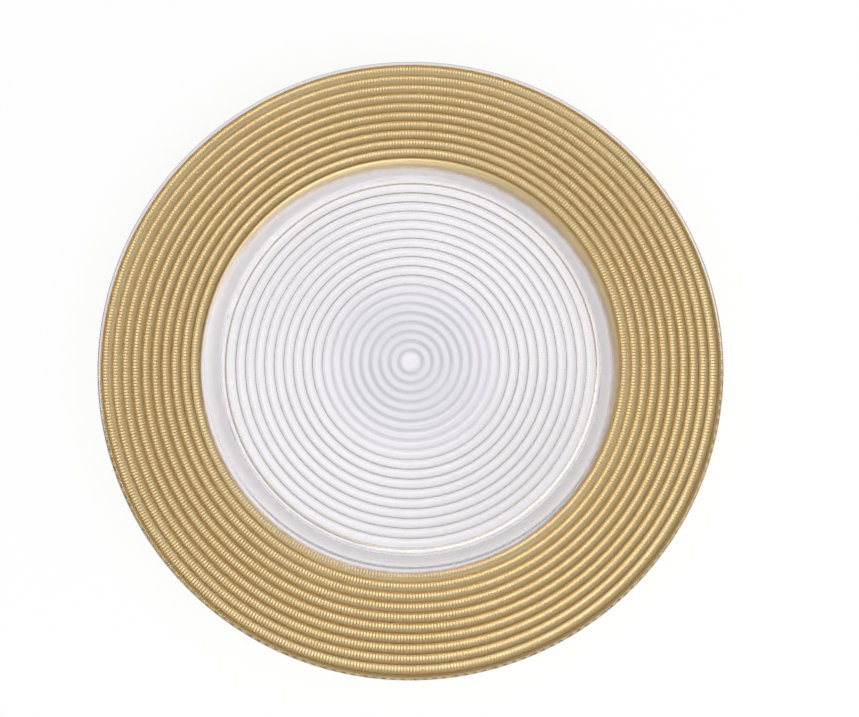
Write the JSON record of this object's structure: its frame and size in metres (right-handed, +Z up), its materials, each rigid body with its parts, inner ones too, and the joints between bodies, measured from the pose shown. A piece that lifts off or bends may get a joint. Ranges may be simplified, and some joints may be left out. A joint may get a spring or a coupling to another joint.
{
  "type": "glass charger plate",
  "caption": "Round clear glass charger plate with a concentric ribbed well, a smooth cove and a wide ribbed rim backed with gold.",
  "frame": {"origin": "middle of the plate on the plane of its foot ring, which is the surface that it stands on", "axes": "+Z up along the plate's axis; +X to the right and +Y away from the viewer"},
  "size_m": [0.3302, 0.3302, 0.0185],
  "materials": {
    "clear_glass": "polished",
    "bright_gold": "polished",
    "gold_back_paint": "satin"
  },
  "bodies": {
    "root": {"glass_plate": "clear_glass", "gold_film": "bright_gold", "back_coat": "gold_back_paint"}
  },
  "joints": []
}
